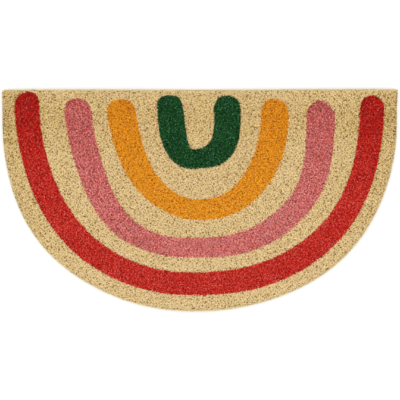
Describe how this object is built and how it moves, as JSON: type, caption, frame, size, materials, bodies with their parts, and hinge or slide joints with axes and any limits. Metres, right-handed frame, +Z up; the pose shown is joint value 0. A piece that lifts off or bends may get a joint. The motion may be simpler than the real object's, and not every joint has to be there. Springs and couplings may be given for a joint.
{
  "type": "coir doormat",
  "caption": "Half-moon coir doormat: a flat slab of level-shorn coconut fibre on a vinyl backing, printed with concentric round-ended bands of colour.",
  "frame": {"origin": "on the underside, at the middle of the mat's box", "axes": "+X along the straight edge, +Y towards the straight edge, +Z up out of the pile"},
  "size_m": [0.7, 0.3928, 0.015],
  "materials": {
    "coir": "matte, cut bristle pile of natural straw-coloured coconut fibre",
    "red_print": "matte, pile tips dyed red",
    "pink_print": "matte, pile tips dyed pink",
    "mustard_print": "matte, pile tips dyed mustard orange",
    "green_print": "matte, pile tips dyed bottle green"
  },
  "bodies": {
    "root": {"mat": "coir"}
  },
  "joints": []
}
